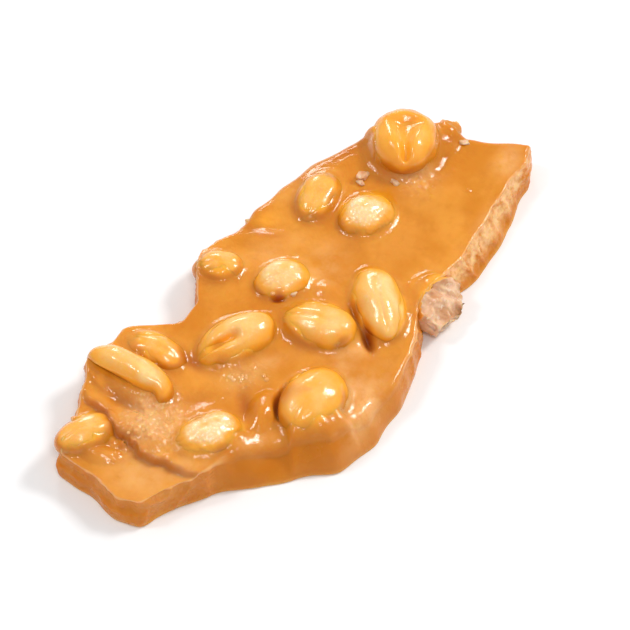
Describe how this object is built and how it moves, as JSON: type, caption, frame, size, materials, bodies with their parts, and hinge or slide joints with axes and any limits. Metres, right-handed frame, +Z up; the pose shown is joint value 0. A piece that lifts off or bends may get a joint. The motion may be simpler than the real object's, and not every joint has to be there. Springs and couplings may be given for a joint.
{
  "type": "nut brittle piece",
  "caption": "Flat snapped slab of amber peanut brittle with whole, split and broken peanuts set in its uneven glossy top, lying with the nuts up.",
  "frame": {"origin": "on the surface that the piece rests on, below the middle of its bounding box", "axes": "+X along the piece's longest side, towards its pointed end; +Z up, out of the nut side"},
  "size_m": [0.1034, 0.0518, 0.0116],
  "materials": {
    "candy": "glossy milky caramel",
    "coated_nut": "roasted peanut under a thin glossy film of candy",
    "broken_nut": "dry broken peanut"
  },
  "bodies": {
    "root": {"candy_slab": "candy", "peanut_01": "coated_nut", "peanut_02": "coated_nut", "peanut_03": "coated_nut", "peanut_04": "coated_nut", "peanut_05": "coated_nut", "peanut_06": "coated_nut", "peanut_07": "coated_nut", "peanut_08": "coated_nut", "peanut_09": "coated_nut", "peanut_10": "coated_nut", "peanut_11": "coated_nut", "peanut_12": "coated_nut", "peanut_13": "coated_nut", "peanut_14": "broken_nut", "peanut_15": "broken_nut", "peanut_16": "broken_nut"}
  },
  "joints": []
}
